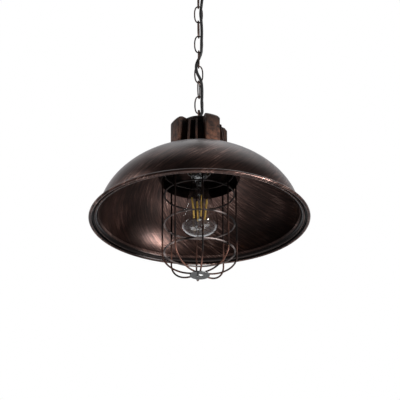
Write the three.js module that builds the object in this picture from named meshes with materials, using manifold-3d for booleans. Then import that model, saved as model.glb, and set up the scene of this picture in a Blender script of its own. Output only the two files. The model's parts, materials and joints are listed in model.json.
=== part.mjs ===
// A dome pendant light: a ceiling rose, a chain with the mains cord woven through it, a cast cap,
// a spun dome shade and a bulb cage. Millimetres, +Z up. The origin is on the ceiling, over the light.
import * as THREE from 'three';
import { mergeVertices } from 'three/addons/utils/BufferGeometryUtils.js';
import Module from 'manifold-3d';

const wasm = await Module();
wasm.setup();

// ---- fits ----
const GAP = 0.3;                 // clearance left between pieces that touch
const ROUND = 48;                // facets round the shade
const FINE = 20;                 // facets round the small turned pieces

// ---- ceiling rose ----
const ROSE_R = 60;
const ROSE_DEPTH = 26;
const ROSE_STEP = 4;             // how far the boss in the middle stands proud of the rose's face
const ROSE_WALL = 1.2;
const ROSE_BOSS_R = 24;
const ROSE_SHOULDER = 16;        // how far in from its edge the rose starts to round over
const ROSE_BAND = 4;             // its straight edge against the ceiling
const BAR_LENGTH = 104;
const BAR_WIDTH = 16;
const BAR_THICK = 2.5;
const SLOT = [9, 4.6];           // the bar's two slots for the ceiling screws
const SLOT_SPREAD = 19;
const STUD_SPREAD = 35;          // the rose's two screws, each side of the middle
const STUD_R = 2;
const STUD_LENGTH = 4.6;         // of the rose's screws, below its face
const CAP_NUT_R = 4.6;
const CAP_NUT_HEIGHT = 10;
const TERMINAL = [30, 16, 12];
const TERMINAL_Y = -20;

// ---- loop under the rose ----
const LOOP_WIRE = 4;
const LOOP_R = 9;                // middle of the loop's wire
const LOOP_NECK = 5;             // from the rose's face down to the loop's wire
const LOOP_BASE_R = 8;
const LOOP_STEM_R = 4;

// ---- chain ----
const LINK_WIRE = 2.3;
const LINK_LENGTH = 34;          // outside
const LINK_WIDTH = 15.5;         // outside
const LINK_OVAL = 2.4;           // 2 is an ellipse, and more is squarer
const LINK_TURNS = [97, 4, 82, -3, 95, 6, 76, -4];   // degrees: which way each link faces

// ---- mains cord ----
const CORD_R = 2.5;
const CORD_FIT = 0.5;            // all round, in its bushes
const CORD_STEPS = 60;
const ROSE_EXIT = [13, -8];      // where the cord comes out of the rose
const CAP_ENTRY = [2, -12.6];    // where it goes into the cap
const BUSH_FLANGE_R = 4.9;
const BUSH_FLANGE = 2;
const BUSH_R = 3.9;

// ---- hanging eye on the cap ----
const EYE_WIRE = 4.4;
const EYE_R = 7.4;
const EYE_BASE_R = 5.6;
const EYE_NECK = 6.2;            // from the cap's top up to the eye's wire
const STUD_BOLT_R = 3;

// ---- cast cap ----
const CAP_HEIGHT = 60;
const CAP_TOP_THICK = 9;
const CAP_TOP_LIP = 2.5;         // how far its top disc stands out past the core
const CAP_WALL = 4;
const CAP_AIR = 1.5;             // round the lampholder, in the core's bore
const BLOCK_R = 48;
const BLOCK_HEIGHT = 58;
const BLOCK_CHAMFER = 9.5;
const BLOCK_DEG = 32;
const BLOCK_TURN = 30;           // the first block, from the front towards the right
const BLOCK_COUNT = 4;
const FIN_THICK = 2.6;
const FIN_IN = 2.5;              // a fin's foot, in from the blocks' outer faces
const FIN_TAPER = 5.5;           // and its head, in from its foot
const FIN_HEIGHT = 48;
const FIN_SPREAD = 9;            // degrees, each side of the middle of a window
const FIN_ROOT = 3;              // how deep a fin's root runs into the core
const CAP_SCREW_R = 2;
const CAP_SCREW_HEAD_R = 3.8;
const CAP_SCREW_IN = 10.5;       // from the blocks' outer faces in to their screws
const CAP_SCREW_BITE = 11;       // how far they go up into the blocks

// ---- shade ----
const SHADE_R = 162.5;           // the dome, outside, where it meets its flange
const SHADE_RISE = 115;
const SHADE_OVAL = 1.8;
const SHADE_WALL = 1.2;
const DOME_FOOT = 9;            // the dome's foot above the rim's plane
const CROWN_LAND = 2;            // the crown's flat seat, past the cap's blocks
const CROWN_AIR = 3;             // round the lampholder, in the crown's hole
const FLANGE_WIDTH = 15.9;       // from the dome out to the rolled edge
const COVE_WIDTH = 5.5;          // the hollow curve from the dome into the flange
const BAND_LOW = 0.4;            // the flange's lowest line, above the rim's plane
const GROOVE_WIDTH = 2;
const GROOVE_HEIGHT = 3.4;       // its floor, above the rim's plane
const ROLL_WIDTH = 5.5;
const RIM_DROP = 1.8;            // how far the rolled edge hangs below the rim's plane

// ---- gallery that holds the cage ----
const GALLERY_WALL = 1.2;
const GALLERY_SEAT_IN = 2.5;     // its flat top ends this far inside the crown's seat
const GALLERY_SWELL = 6.5;       // its belly, out past its mouth
const GALLERY_DEPTH = 48;

// ---- cage ----
const CAGE_WIRE = 2.8;
const CAGE_FIT = 0.55;           // between the wires and the gallery's mouth
const RING_R = 56.5;
const RING_LEVELS = [83, 44, -8, -57];               // above the rim's plane
const WIRE_COUNT = 8;
const WIRE_TURN = 5;             // degrees, the first wire, from the front towards the right
const WIRE_TOP = 86;
const WIRE_BEND = -62;           // where the wires start to turn in
const HUB_LEVEL = -97;
const HUB_R = 16;
const HUB_HOLE_R = 5.5;
const HUB_THICK = 2;
const WIRE_END_R = 9.5;

// ---- lamp ----
const LAMP_R = 30;
const LAMP_WIDEST = -8;          // above the rim's plane
const LAMP_BOTTOM = -26.5;
const GLASS_TOP = 79;
const GLASS_WALL = 0.8;
const SHELL_R = 13.1;
const SHELL_LENGTH = 21;
const SHELL_LAP = 3;             // how far it comes down over the glass
const NECK_IN = 1.4;             // the glass's neck, in from the shell
const THREAD_PITCH = 3.6;
const THREAD_DEPTH = 0.9;
const THREAD_TURNS = 4;
const CONTACT_RISE = 6;          // from the shell up to the tip of the lamp's contact
const FILAMENTS = 4;
const FILAMENT_TURN = 18;
const FILAMENT_LEVELS = [2, 38];
const FILAMENT_RADII = [9, 12.5];
const FILAMENT_R = 1.5;

// ---- lampholder ----
const HOLDER_WALL = 1.6;
const HOLDER_AIR = 3;            // between the liner and the skirt
const HOLDER_SHOWS = 7.7;        // how much of the lamp's shell stays below its mouth
const HOLDER_CONTACT = 3.6;      // how far its contact reaches down below the joint
const HOLDER_CAP_HEIGHT = 34.8;
const LINER_FIT = 1;             // round the lamp's shell
const LINER_WALL = 0.8;

// ---- worked-out sizes and places ----
const rad = THREE.MathUtils.degToRad;
const linerR = SHELL_R + LINER_FIT + LINER_WALL;
const holderR = linerR + HOLDER_AIR + HOLDER_WALL;
const neckR = SHELL_R - NECK_IN;
const capBoreR = holderR + CAP_AIR;
const capCoreR = capBoreR + CAP_WALL;
const capTopR = capCoreR + CAP_TOP_LIP;
const screwRing = BLOCK_R - CAP_SCREW_IN;
const finFootR = BLOCK_R - FIN_IN;
const finHeadR = finFootR - FIN_TAPER;
const crownR = BLOCK_R + CROWN_LAND;
const crownHoleR = holderR + CROWN_AIR;
const rimR = SHADE_R + FLANGE_WIDTH;
const cageWireR = RING_R + CAGE_WIRE + GAP;
const mouthR = cageWireR + CAGE_WIRE / 2 + CAGE_FIT + GALLERY_WALL;
const shellFoot = GLASS_TOP + GAP - SHELL_LAP;       // from here down to holderTop, above the rim's plane
const shellTop = shellFoot + SHELL_LENGTH;
const holderMouth = shellFoot + HOLDER_SHOWS;
const holderJoint = shellTop + CONTACT_RISE + GAP + HOLDER_CONTACT;
const holderTop = holderJoint + HOLDER_CAP_HEIGHT;
const linkHalf = (LINK_LENGTH - LINK_WIRE) / 2;
const loopBottom = -ROSE_DEPTH - LOOP_NECK - 2 * LOOP_R;
const linkTop = loopBottom + (LOOP_WIRE + LINK_WIRE) / 2 + GAP;
const linkPitch = LINK_LENGTH - 2 * LINK_WIRE - GAP;
const linkLevels = LINK_TURNS.map((turn, i) => linkTop - linkHalf - i * linkPitch);
const lastBottom = linkLevels.at(-1) - linkHalf;
const eyeTop = lastBottom + (LINK_WIRE + EYE_WIRE) / 2 + GAP;
const capTop = eyeTop - 2 * EYE_R - EYE_NECK;
const capFoot = capTop - CAP_HEIGHT;
const crownTop = capFoot - GAP;
const crownRise = crownHeight();
const rimZ = crownTop - DOME_FOOT - crownRise;       // the rim's plane

function crownHeight() {
  return SHADE_RISE * (1 - (crownR / SHADE_R) ** SHADE_OVAL) ** (1 / SHADE_OVAL);
}

const light = new THREE.Group();

// ---- helpers ----
function put(name, geometry, colour, roughness, metalness, x = 0, y = 0, z = 0, turn = 0) {
  const material = new THREE.MeshStandardMaterial({ color: colour, roughness, metalness });
  const mesh = new THREE.Mesh(geometry, material);
  mesh.name = name;
  mesh.position.set(x, y, z);
  mesh.rotation.z = turn;
  light.add(mesh);
  return mesh;
}

// Turned about +Z: points are [radius, height], from the bottom up on the outside.
function turned(points, segments = FINE) {
  const outline = points.map(([r, z]) => new THREE.Vector2(r, z));
  const geometry = new THREE.LatheGeometry(outline, segments);
  geometry.rotateX(Math.PI / 2);
  return geometry;
}

// A turned piece with a bore: its outline closes on itself.
function turnedRing(points, segments = FINE) {
  return turned([...points, points[0]], segments);
}

function tubePiece(rOuter, rInner, z0, z1, segments = FINE) {
  return turnedRing([[rInner, z0], [rOuter, z0], [rOuter, z1], [rInner, z1]], segments);
}

function rod(r, z0, z1, segments = 12) {
  return turned([[0, z0], [r, z0], [r, z1], [0, z1]], segments);
}

function hexNut(across, bore, z0, z1) {
  const corner = across / Math.sqrt(3);
  const outline = new THREE.Shape();
  for (let i = 0; i < 6; i++) {
    const a = rad(60 * i + 30);
    outline[i ? 'lineTo' : 'moveTo'](corner * Math.cos(a), corner * Math.sin(a));
  }
  outline.closePath();
  outline.holes.push(new THREE.Path().absarc(0, 0, bore, 0, 2 * Math.PI, true));
  const settings = { depth: z1 - z0, bevelEnabled: false, curveSegments: 12 };
  const geometry = new THREE.ExtrudeGeometry(outline, settings);
  return geometry.translate(0, 0, z0);
}

// A closed ring of round wire in the XZ plane: a torus whose middle line is moved onto outline(angle).
function wireLoop(outline, wire, sides, steps) {
  const geometry = new THREE.TorusGeometry(1, wire / 2, sides, steps);
  const place = geometry.attributes.position;
  for (let j = 0; j <= sides; j++) {
    for (let i = 0; i <= steps; i++) {
      const u = (i % steps) / steps * 2 * Math.PI;
      const v = (j % sides) / sides * 2 * Math.PI;
      const at = outline(u);
      const along = outline(u + 1e-3).sub(outline(u - 1e-3)).normalize();
      const out = wire / 2 * Math.cos(v);
      place.setXYZ(j * (steps + 1) + i, at.x + along.y * out, -wire / 2 * Math.sin(v), at.y - along.x * out);
    }
  }
  return geometry;
}

function oval(halfWidth, halfHeight, power) {
  const bend = (t) => Math.sign(t) * Math.abs(t) ** (2 / power);
  return (u) => new THREE.Vector2(halfWidth * bend(Math.cos(u)), halfHeight * bend(Math.sin(u)));
}

// Round wire or cord along a curve.
function wireAlong(curve, wire, sides, steps) {
  const section = new THREE.Shape();
  for (let i = 0; i < sides; i++) {
    const a = (i + 0.5) / sides * 2 * Math.PI;
    section[i ? 'lineTo' : 'moveTo'](wire / 2 * Math.cos(a), wire / 2 * Math.sin(a));
  }
  section.closePath();
  return new THREE.ExtrudeGeometry(section, { steps, extrudePath: curve, bevelEnabled: false });
}

function solid(geometry) {
  const bare = geometry.clone();
  bare.deleteAttribute('normal');
  bare.deleteAttribute('uv');
  const merged = mergeVertices(bare, 1e-4);
  const vertProperties = merged.attributes.position.array;
  const numbers = { numProp: 3, vertProperties, triVerts: merged.index.array };
  return new wasm.Manifold(new wasm.Mesh(numbers));
}

function shapeOf(body) {
  const mesh = body.getMesh();
  const geometry = new THREE.BufferGeometry();
  geometry.setAttribute('position', new THREE.BufferAttribute(mesh.vertProperties, 3));
  geometry.setIndex(new THREE.BufferAttribute(mesh.triVerts, 1));
  return geometry;
}

// Where block i of the cap points, and the middle of its screw.
function blockAngle(i) {
  return rad(BLOCK_TURN - 90 + i * 360 / BLOCK_COUNT);
}

function screwPlace(i) {
  return [screwRing * Math.cos(blockAngle(i)), screwRing * Math.sin(blockAngle(i))];
}

// The four screw holes through whatever lies from z0 to z1.
function screwHoles(z0, z1) {
  let holes = null;
  for (let i = 0; i < BLOCK_COUNT; i++) {
    const hole = solid(rod(CAP_SCREW_R + GAP, z0, z1).translate(...screwPlace(i), 0));
    holes = holes ? holes.add(hole) : hole;
  }
  return holes;
}

// The dome's height above its foot at radius r.
function domeHeight(r) {
  return SHADE_RISE * (1 - Math.min(1, (r / SHADE_R) ** SHADE_OVAL)) ** (1 / SHADE_OVAL);
}

// ---- ceiling rose ----
function addRose() {
  const face = -ROSE_DEPTH + ROSE_STEP;
  const w = ROSE_WALL;
  // the shoulder is a quarter of an ellipse, and inset draws the shell's inner face
  const shoulder = (inset) => [0, 30, 60, 90].map((degrees) => {
    const t = rad(degrees);
    const r = ROSE_R - ROSE_SHOULDER * (1 - Math.sin(t)) - inset * Math.sin(t);
    const z = face + (-ROSE_BAND - face) * (1 - Math.cos(t)) + inset * Math.cos(t);
    return [r, z];
  });
  const bore = LOOP_STEM_R + GAP;
  const shell = solid(turnedRing([
    [bore, -ROSE_DEPTH], [ROSE_BOSS_R - 3, -ROSE_DEPTH], [ROSE_BOSS_R, face], ...shoulder(0), [ROSE_R, 0],
    [ROSE_R - w, 0], ...shoulder(w).reverse(), [ROSE_BOSS_R - w / 2, face + w],
    [ROSE_BOSS_R - 3 - w / 2, w - ROSE_DEPTH], [bore, w - ROSE_DEPTH]], 30));
  let cut = solid(rod(BUSH_R + GAP, -ROSE_DEPTH - 1, w - ROSE_DEPTH + 1).translate(...ROSE_EXIT, 0));
  for (const side of [-1, 1]) {
    cut = cut.add(solid(rod(STUD_R + GAP, face - 1, face + w + 1).translate(side * STUD_SPREAD, 0, 0)));
  }
  put('ceiling_rose', shapeOf(shell.subtract(cut)), 0x3a302b, 0.5, 0.8);

  let bar = solid(new THREE.BoxGeometry(BAR_LENGTH, BAR_WIDTH, BAR_THICK).translate(0, 0, -BAR_THICK / 2));
  for (const side of [-1, 1]) {
    const slot = new THREE.BoxGeometry(...SLOT, 3 * BAR_THICK).translate(side * SLOT_SPREAD, 0, 0);
    bar = bar.subtract(solid(slot));
    const hole = rod(STUD_R + GAP, -2 * BAR_THICK, BAR_THICK).translate(side * STUD_SPREAD, 0, 0);
    bar = bar.subtract(solid(hole));
  }
  put('mounting_bar', shapeOf(bar), 0x9a9c9e, 0.45, 0.9);

  const names = ['left', 'right'];
  [-1, 1].forEach((side, i) => {
    const x = side * STUD_SPREAD;
    const top = face - GAP;
    const low = top - CAP_NUT_HEIGHT;
    const hole = face - STUD_LENGTH - 2 * GAP;
    const bore = STUD_R + GAP;
    put(`rose_screw_${names[i]}`, rod(STUD_R, face - STUD_LENGTH, -GAP), 0xb8b2a4, 0.35, 0.95, x);
    const nut = turned([[0, low], [CAP_NUT_R / 2, low + 0.6], [CAP_NUT_R, low + 3.5], [CAP_NUT_R, top - 1.2],
      [CAP_NUT_R + 1, top], [bore, top], [bore, hole], [0, hole]], 16);
    put(`rose_cap_nut_${names[i]}`, nut, 0x4a3c34, 0.45, 0.85, x);
  });

  const [tx, ty, tz] = TERMINAL;
  const block = new THREE.BoxGeometry(tx, ty, tz);
  put('terminal_block', block, 0xe6e2d6, 0.55, 0, 0, TERMINAL_Y, -tz / 2 - 0.5);
}

function addRoseLoop() {
  const face = -ROSE_DEPTH - GAP;
  const ringAt = loopBottom + LOOP_R;
  const ring = solid(wireLoop(oval(LOOP_R, LOOP_R, 2), LOOP_WIRE, 10, 24).translate(0, 0, ringAt));
  const foot = face - LOOP_NECK;
  const neck = solid(turned([[0, foot], [3.4, foot], [4.2, foot + 1.6], [LOOP_BASE_R, face - 1.6],
    [LOOP_BASE_R, face], [LOOP_STEM_R, face], [LOOP_STEM_R, face + 11], [0, face + 11]], FINE));
  put('rose_loop', shapeOf(ring.add(neck)), 0x3f332c, 0.5, 0.85);
  const inside = ROSE_WALL - ROSE_DEPTH + GAP;
  put('rose_loop_nut', hexNut(14, LOOP_STEM_R + GAP, inside, inside + 4), 0x8f8f8c, 0.4, 0.9);
  addBush('rose_cord_bush', ROSE_EXIT, -ROSE_DEPTH, ROSE_WALL, -1);
}

// A flanged bush in a wall that starts at z and is wall thick; out is the side its flange is on.
function addBush(name, [x, y], z, wall, out) {
  const bore = CORD_R + CORD_FIT;
  const near = z + out * GAP;
  const far = z + out * (GAP + BUSH_FLANGE);
  const inner = z - out * (wall + 1.5);
  const outline = [[bore, far], [BUSH_FLANGE_R - 0.8, far], [BUSH_FLANGE_R, near], [BUSH_R, near],
    [BUSH_R, inner], [bore, inner]];
  put(name, turnedRing(out < 0 ? outline : outline.reverse(), 14), 0x1c1a19, 0.7, 0, x, y);
}

// ---- chain ----
function addChain() {
  const outline = oval((LINK_WIDTH - LINK_WIRE) / 2, linkHalf, LINK_OVAL);
  LINK_TURNS.forEach((turn, i) => {
    const link = wireLoop(outline, LINK_WIRE, 6, 20);
    put(`chain_link_${i + 1}`, link, 0x3b312d, 0.5, 0.85, 0, 0, linkLevels[i], rad(turn));
  });
}

// ---- mains cord ----
function addCord() {
  const [rx, ry] = ROSE_EXIT;
  const [cx, cy] = CAP_ENTRY;
  const route = [
    [rx, ry - 4, -13.1], [rx, ry - 0.6, -20], [rx, ry, -26], [rx, ry, -30], [12.3, -7.8, -38],
    [9.8, -6.8, -50], [6.6, -5.6, -63], [4.9, -5.2, -77], [3.6, -5.2, -91], [4.6, -5, -105],
    [5.3, -4.4, -119], [5.4, -4.5, -132], [4.9, -5, -147], [4.7, -4.8, -158], [4.6, -4, -164],
    [3.4, -2.5, -169.5], [1, -1.4, -176], [-1.6, -1.7, -182], [-3.3, -3.2, -187.5], [-4.2, -4.8, -194],
    [-4, -5.3, -201], [-2.2, -5.5, -208.5], [1.2, -5.5, -216], [4.1, -5.3, -224.5], [5.2, -4.7, -236],
    [5.2, -4.8, -250], [4.7, -5.2, -264], [5.2, -6, -276], [5.3, -9.2, -283.5], [3.3, -11.9, -290.5],
    [cx, cy, -297], [cx, cy, -310], [cx, cy, -330], [cx, cy, -345]];
  const curve = new THREE.CatmullRomCurve3(route.map((p) => new THREE.Vector3(...p)), false, 'centripetal');
  put('mains_cord', wireAlong(curve, 2 * CORD_R, 8, CORD_STEPS), 0x1b1918, 0.8, 0);
}

// ---- hanging eye, cap and its pieces ----
function addEye() {
  const ringAt = eyeTop - EYE_R;
  const loop = wireLoop(oval(EYE_R, EYE_R, 2), EYE_WIRE, 10, 24).rotateZ(Math.PI / 2);
  const ring = solid(loop.translate(0, 0, ringAt));
  const foot = capTop + GAP;
  const neck = solid(turned([[0, foot], [EYE_BASE_R, foot], [EYE_BASE_R, foot + 1.8], [3.2, foot + EYE_NECK],
    [0, foot + EYE_NECK]], FINE));
  const hole = solid(rod(STUD_BOLT_R + GAP, foot - 1, foot + 3.4));
  put('hanging_eye', shapeOf(ring.add(neck).subtract(hole)), 0x5a4238, 0.5, 0.85);
  put('hanging_stud', rod(STUD_BOLT_R, rimZ + holderTop - 2, foot + 3), 0x8f8f8c, 0.4, 0.9);
  const under = capTop - CAP_TOP_THICK - GAP;
  put('hanging_nut', hexNut(10, STUD_BOLT_R + GAP, under - 5, under), 0x8f8f8c, 0.4, 0.9);
  addBush('cap_cord_bush', CAP_ENTRY, capTop, 1, 1);
}

// Upright slab out from the axis in the XZ plane: points are [radius, height].
function slab(points, thick) {
  const outline = new THREE.Shape(points.map(([r, z]) => new THREE.Vector2(r, z)));
  const geometry = new THREE.ExtrudeGeometry(outline, { depth: thick, bevelEnabled: false });
  return geometry.rotateX(Math.PI / 2).translate(0, thick / 2, 0);
}

// Part of a turned piece: its outline swept through an angle, as a wedge.
function wedge(points, degrees) {
  const outline = points.map(([r, z]) => new THREE.Vector2(r, z));
  const full = solid(turned(points, 32));
  const reach = 2 * outline.reduce((most, p) => Math.max(most, p.x), 0);
  const half = rad(degrees / 2);
  const sector = new THREE.Shape([new THREE.Vector2(0, 0), new THREE.Vector2(reach, -reach * Math.tan(half)),
    new THREE.Vector2(reach, reach * Math.tan(half))]);
  const blade = new THREE.ExtrudeGeometry(sector, { depth: 4 * CAP_HEIGHT, bevelEnabled: false });
  return full.intersect(solid(blade.translate(0, 0, -CAP_HEIGHT)));
}

function addCap() {
  const top = CAP_HEIGHT;
  const disc = top - CAP_TOP_THICK;
  let cap = solid(turned([[0, 0], [capCoreR, 0], [capCoreR, disc - 2], [capTopR, disc], [capTopR, top - 1.6],
    [capTopR - 1.6, top], [0, top]], 32));
  const c = BLOCK_CHAMFER;
  const h = BLOCK_HEIGHT;
  const root = capCoreR - FIN_ROOT;
  const finOutline = [[root, 0], [finFootR, 0], [finHeadR, FIN_HEIGHT], [root, FIN_HEIGHT + 4]];
  for (let i = 0; i < BLOCK_COUNT; i++) {
    const toward = blockAngle(i);
    const block = wedge([[0, 0], [BLOCK_R, 0], [BLOCK_R, h - c * 0.75], [BLOCK_R - c * 0.4, h - c * 0.25],
      [BLOCK_R - c, h], [0, h]], BLOCK_DEG);
    cap = cap.add(block.rotate([0, 0, THREE.MathUtils.radToDeg(toward)]));
    for (const side of [-1, 1]) {
      const fin = slab(finOutline, FIN_THICK);
      cap = cap.add(solid(fin.rotateZ(toward + Math.PI / BLOCK_COUNT + rad(side * FIN_SPREAD))));
    }
  }
  cap = cap.subtract(solid(rod(capBoreR, -1, disc, 32)));
  cap = cap.subtract(solid(rod(STUD_BOLT_R + GAP, 0, top + 1)));
  cap = cap.subtract(solid(rod(BUSH_R + GAP, 0, top + 1, 16).translate(...CAP_ENTRY, 0)));
  cap = cap.subtract(screwHoles(-1, CAP_SCREW_BITE + 2));
  put('finned_cap', shapeOf(cap), 0x5c463c, 0.6, 0.7, 0, 0, capFoot);
}

function addCapScrews() {
  const seat = crownTop - SHADE_WALL - GAP - GALLERY_WALL - GAP;
  const tip = capFoot + CAP_SCREW_BITE;
  const head = CAP_SCREW_HEAD_R;
  for (let i = 0; i < BLOCK_COUNT; i++) {
    const screw = turned([[0, seat - 3], [head - 1.4, seat - 2.7], [head, seat - 1.2], [head, seat],
      [CAP_SCREW_R, seat], [CAP_SCREW_R, tip], [0, tip]], 12);
    put(`cap_screw_${i + 1}`, screw, 0x8a8680, 0.4, 0.9, ...screwPlace(i));
  }
}

// ---- shade ----
// The flange's outline, from the foot of the dome's inner face out round the rolled edge and back in.
function flangeOutline() {
  const rollIn = rimR - ROLL_WIDTH;
  const grooveOut = rollIn - 0.7;
  const grooveIn = grooveOut - GROOVE_WIDTH;
  const cove = [25, 60, 90].map((degrees) => {
    const t = rad(degrees);
    return [SHADE_R + COVE_WIDTH * (1 - Math.cos(t)), BAND_LOW + (DOME_FOOT - BAND_LOW) * (1 - Math.sin(t))];
  });
  return [[SHADE_R - 1.4, DOME_FOOT - 0.6], ...cove, [grooveIn - 0.9, BAND_LOW + 0.6],
    [grooveIn, GROOVE_HEIGHT], [grooveOut, GROOVE_HEIGHT], [rollIn, 0.4], [rollIn + 0.9, -RIM_DROP * 0.6],
    [rollIn + 2.7, -RIM_DROP], [rimR - 0.9, -RIM_DROP * 0.6], [rimR, 0.8], [rimR - 0.5, 2.4],
    [rimR - 2.2, 4.2], [rimR - 6.4, 6.2], [SHADE_R + COVE_WIDTH, DOME_FOOT - 2], [SHADE_R + 1.7, DOME_FOOT - 0.8]];
}

function addShade() {
  const w = SHADE_WALL;
  const steps = 9;
  const outer = [];
  const inner = [];
  for (let i = 0; i <= steps; i++) {
    // even steps of angle keep the facets alike from the steep foot to the flat crown
    const t = i / steps * Math.acos((crownR / SHADE_R) ** (SHADE_OVAL / 2));
    const r = SHADE_R * Math.cos(t) ** (2 / SHADE_OVAL);
    const z = DOME_FOOT + domeHeight(r);
    outer.push([r, z]);
    inner.push([r - w * Math.cos(t), z - w * Math.sin(t)]);
  }
  const crown = DOME_FOOT + crownRise;
  const outline = [[crownHoleR, crown - w], ...inner.reverse().slice(0, -1), ...flangeOutline(), ...outer,
    [crownHoleR, crown]];
  const shade = solid(turnedRing(outline, ROUND)).subtract(screwHoles(crown - 5, crown + 5));
  put('dome_shade', shapeOf(shade), 0x5b4a44, 0.42, 0.75, 0, 0, rimZ);
}

// ---- gallery ----
function addGallery() {
  const top = crownTop - SHADE_WALL - GAP;
  const w = GALLERY_WALL;
  const seat = crownR - GALLERY_SEAT_IN;
  const belly = mouthR + GALLERY_SWELL;
  // the side from its flat top to its mouth: a radius, and the share of the depth it lies at
  const side = [[seat, 0], [(seat + belly) / 2, 0.1], [belly - 3, 0.31], [belly, 0.56], [belly - 2.2, 0.79],
    [mouthR, 1]];
  const outer = side.map(([r, share]) => [r, top - share * GALLERY_DEPTH]);
  const inner = side.map(([r, share]) => [r - w, top - w - share * (GALLERY_DEPTH - w)]);
  const outline = [[crownHoleR, top - w], ...inner, ...outer.reverse(), [crownHoleR, top]];
  const shell = solid(turnedRing(outline, 36));
  put('cage_gallery', shapeOf(shell.subtract(screwHoles(top - w - 1, top + 1))), 0x2e2724, 0.55, 0.8);
}

// ---- cage ----
function addCage() {
  const names = ['cage_ring_top', 'cage_ring_upper', 'cage_ring_middle', 'cage_ring_lower'];
  RING_LEVELS.forEach((level, i) => {
    const ring = wireLoop(oval(RING_R, RING_R, 2), CAGE_WIRE, 6, 36).rotateX(Math.PI / 2);
    put(names[i], ring, 0x6b554c, 0.45, 0.85, 0, 0, rimZ + level);
  });
  const low = HUB_LEVEL + HUB_THICK / 2 + CAGE_WIRE / 2 + GAP;
  const path = new THREE.CurvePath();
  const start = new THREE.Vector3(cageWireR, 0, WIRE_TOP);
  const bend = new THREE.Vector3(cageWireR, 0, WIRE_BEND);
  const inward = new THREE.Vector3(HUB_R, 0, low);
  const k = 0.5523;              // a cubic curve this long in the handles is a quarter of an ellipse
  const down = new THREE.Vector3(cageWireR, 0, WIRE_BEND + k * (low - WIRE_BEND));
  const across = new THREE.Vector3(HUB_R + k * (cageWireR - HUB_R), 0, low);
  path.add(new THREE.LineCurve3(start, bend));
  path.add(new THREE.CubicBezierCurve3(bend, down, across, inward));
  path.add(new THREE.LineCurve3(inward, new THREE.Vector3(WIRE_END_R, 0, low)));
  for (let i = 0; i < WIRE_COUNT; i++) {
    const wire = wireAlong(path, CAGE_WIRE, 6, 17);
    const turn = rad(WIRE_TURN - 90 + i * 360 / WIRE_COUNT);
    put(`cage_wire_${i + 1}`, wire, 0x5f4a41, 0.5, 0.85, 0, 0, rimZ, turn);
  }
  const hub = tubePiece(HUB_R, HUB_HOLE_R, -HUB_THICK / 2, HUB_THICK / 2, 28);
  put('cage_hub', hub, 0x8d8d8d, 0.4, 0.9, 0, 0, rimZ + HUB_LEVEL);
  const tab = slab([[0, 0], [3.6, 0], [3, -5.5], [0.9, -6.6], [0, -5]], 1.6);
  put('cage_hub_tab', tab, 0x8d8d8d, 0.4, 0.9, -4.5, -13, rimZ + HUB_LEVEL - HUB_THICK / 2 - GAP);
}

// ---- lampholder ----
function addLampholder() {
  const r = holderR;
  const w = HOLDER_WALL;
  const [mouth, joint, top] = [holderMouth, holderJoint, holderTop].map((level) => rimZ + level);
  put('lampholder_skirt', tubePiece(r, r - w, mouth, joint, 32), 0x6f6a66, 0.35, 0.9);
  let cap = solid(turned([[0, joint + GAP], [r, joint + GAP], [r, top - 9], [r - 3, top - 2], [r - 6, top],
    [0, top]], 32));
  cap = cap.subtract(solid(rod(r - w, joint - 1, top - 9, FINE)));
  cap = cap.subtract(solid(rod(STUD_BOLT_R + GAP, top - 12, top + 1)));
  cap = cap.subtract(solid(rod(CORD_R + CORD_FIT, top - 12, top + 1).translate(...CAP_ENTRY, 0)));
  put('lampholder_cap', shapeOf(cap), 0x6f6a66, 0.35, 0.9);
  const liner = tubePiece(linerR, linerR - LINER_WALL, mouth + 2, joint - 3);
  put('lampholder_liner', liner, 0xb08d57, 0.35, 0.95);
  const core = r - w - GAP;
  const insulator = turned([[0, joint - 2], [core, joint - 2], [core, joint + 8], [core - 6, joint + 12],
    [0, joint + 12]]);
  put('lampholder_insulator', insulator, 0xe9e4da, 0.3, 0);
  const tip = joint - HOLDER_CONTACT;
  const contact = turned([[0, tip], [3, tip + 0.4], [3.4, joint - 2 - GAP], [0, joint - 2 - GAP]], 14);
  put('lampholder_contact', contact, 0xb08d57, 0.35, 0.95);
}

// ---- lamp ----
// The glass's radius, from its round end up its long taper into the neck.
function glassOutline(inset) {
  const points = [];
  const low = LAMP_WIDEST - LAMP_BOTTOM - inset;
  const wide = LAMP_R - inset;
  for (let i = 0; i <= 6; i++) {
    const t = rad(15 * i);
    points.push([wide * Math.sin(t), LAMP_WIDEST - low * Math.cos(t)]);
  }
  const rise = GLASS_TOP - LAMP_WIDEST;
  const neck = neckR - inset;
  for (let i = 1; i <= 8; i++) {
    const t = i / 8;
    points.push([neck + (wide - neck) * (0.5 + 0.5 * Math.cos(Math.PI * t ** 0.92)), LAMP_WIDEST + rise * t]);
  }
  return points;
}

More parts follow.
